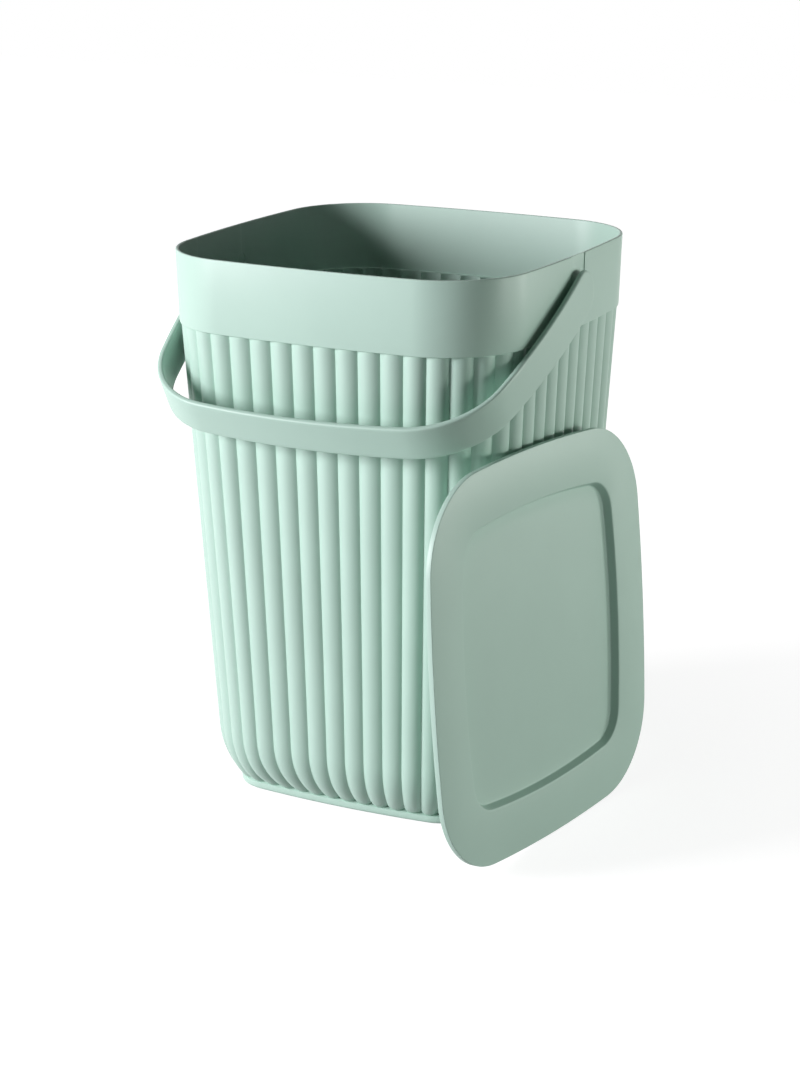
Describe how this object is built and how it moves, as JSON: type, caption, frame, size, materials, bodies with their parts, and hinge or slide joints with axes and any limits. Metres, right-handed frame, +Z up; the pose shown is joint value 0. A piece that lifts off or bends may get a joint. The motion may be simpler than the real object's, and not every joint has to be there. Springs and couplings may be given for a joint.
{
  "type": "waste bin",
  "caption": "Square waste bin with fluted tapering sides, a smooth collar, a swinging bail handle and a lift-off lid with a sunk panel.",
  "frame": {"origin": "on the floor, at the middle of the tub's base", "axes": "+Z up, -Y the front, where the handle hangs at rest, +X the side that the lid leans on"},
  "size_m": [0.2338, 0.2556, 0.3],
  "materials": {
    "sage_plastic": "satin moulded sage green"
  },
  "bodies": {
    "tub": {"tub": "sage_plastic"},
    "handle": {"handle": "sage_plastic"},
    "lid": {"lid": "sage_plastic"}
  },
  "joints": [
    {"name": "handle_swing", "type": "hinge", "parent": "tub", "child": "handle", "pos_m": [0, 0, 0.28], "axis": [-1, 0, 0], "range_deg": [-6, 242]},
    {"name": "lid_lift", "type": "slide", "parent": "tub", "child": "lid", "axis": [0.7071, 0, 0.7071], "range_m": [0, 0.3]}
  ]
}
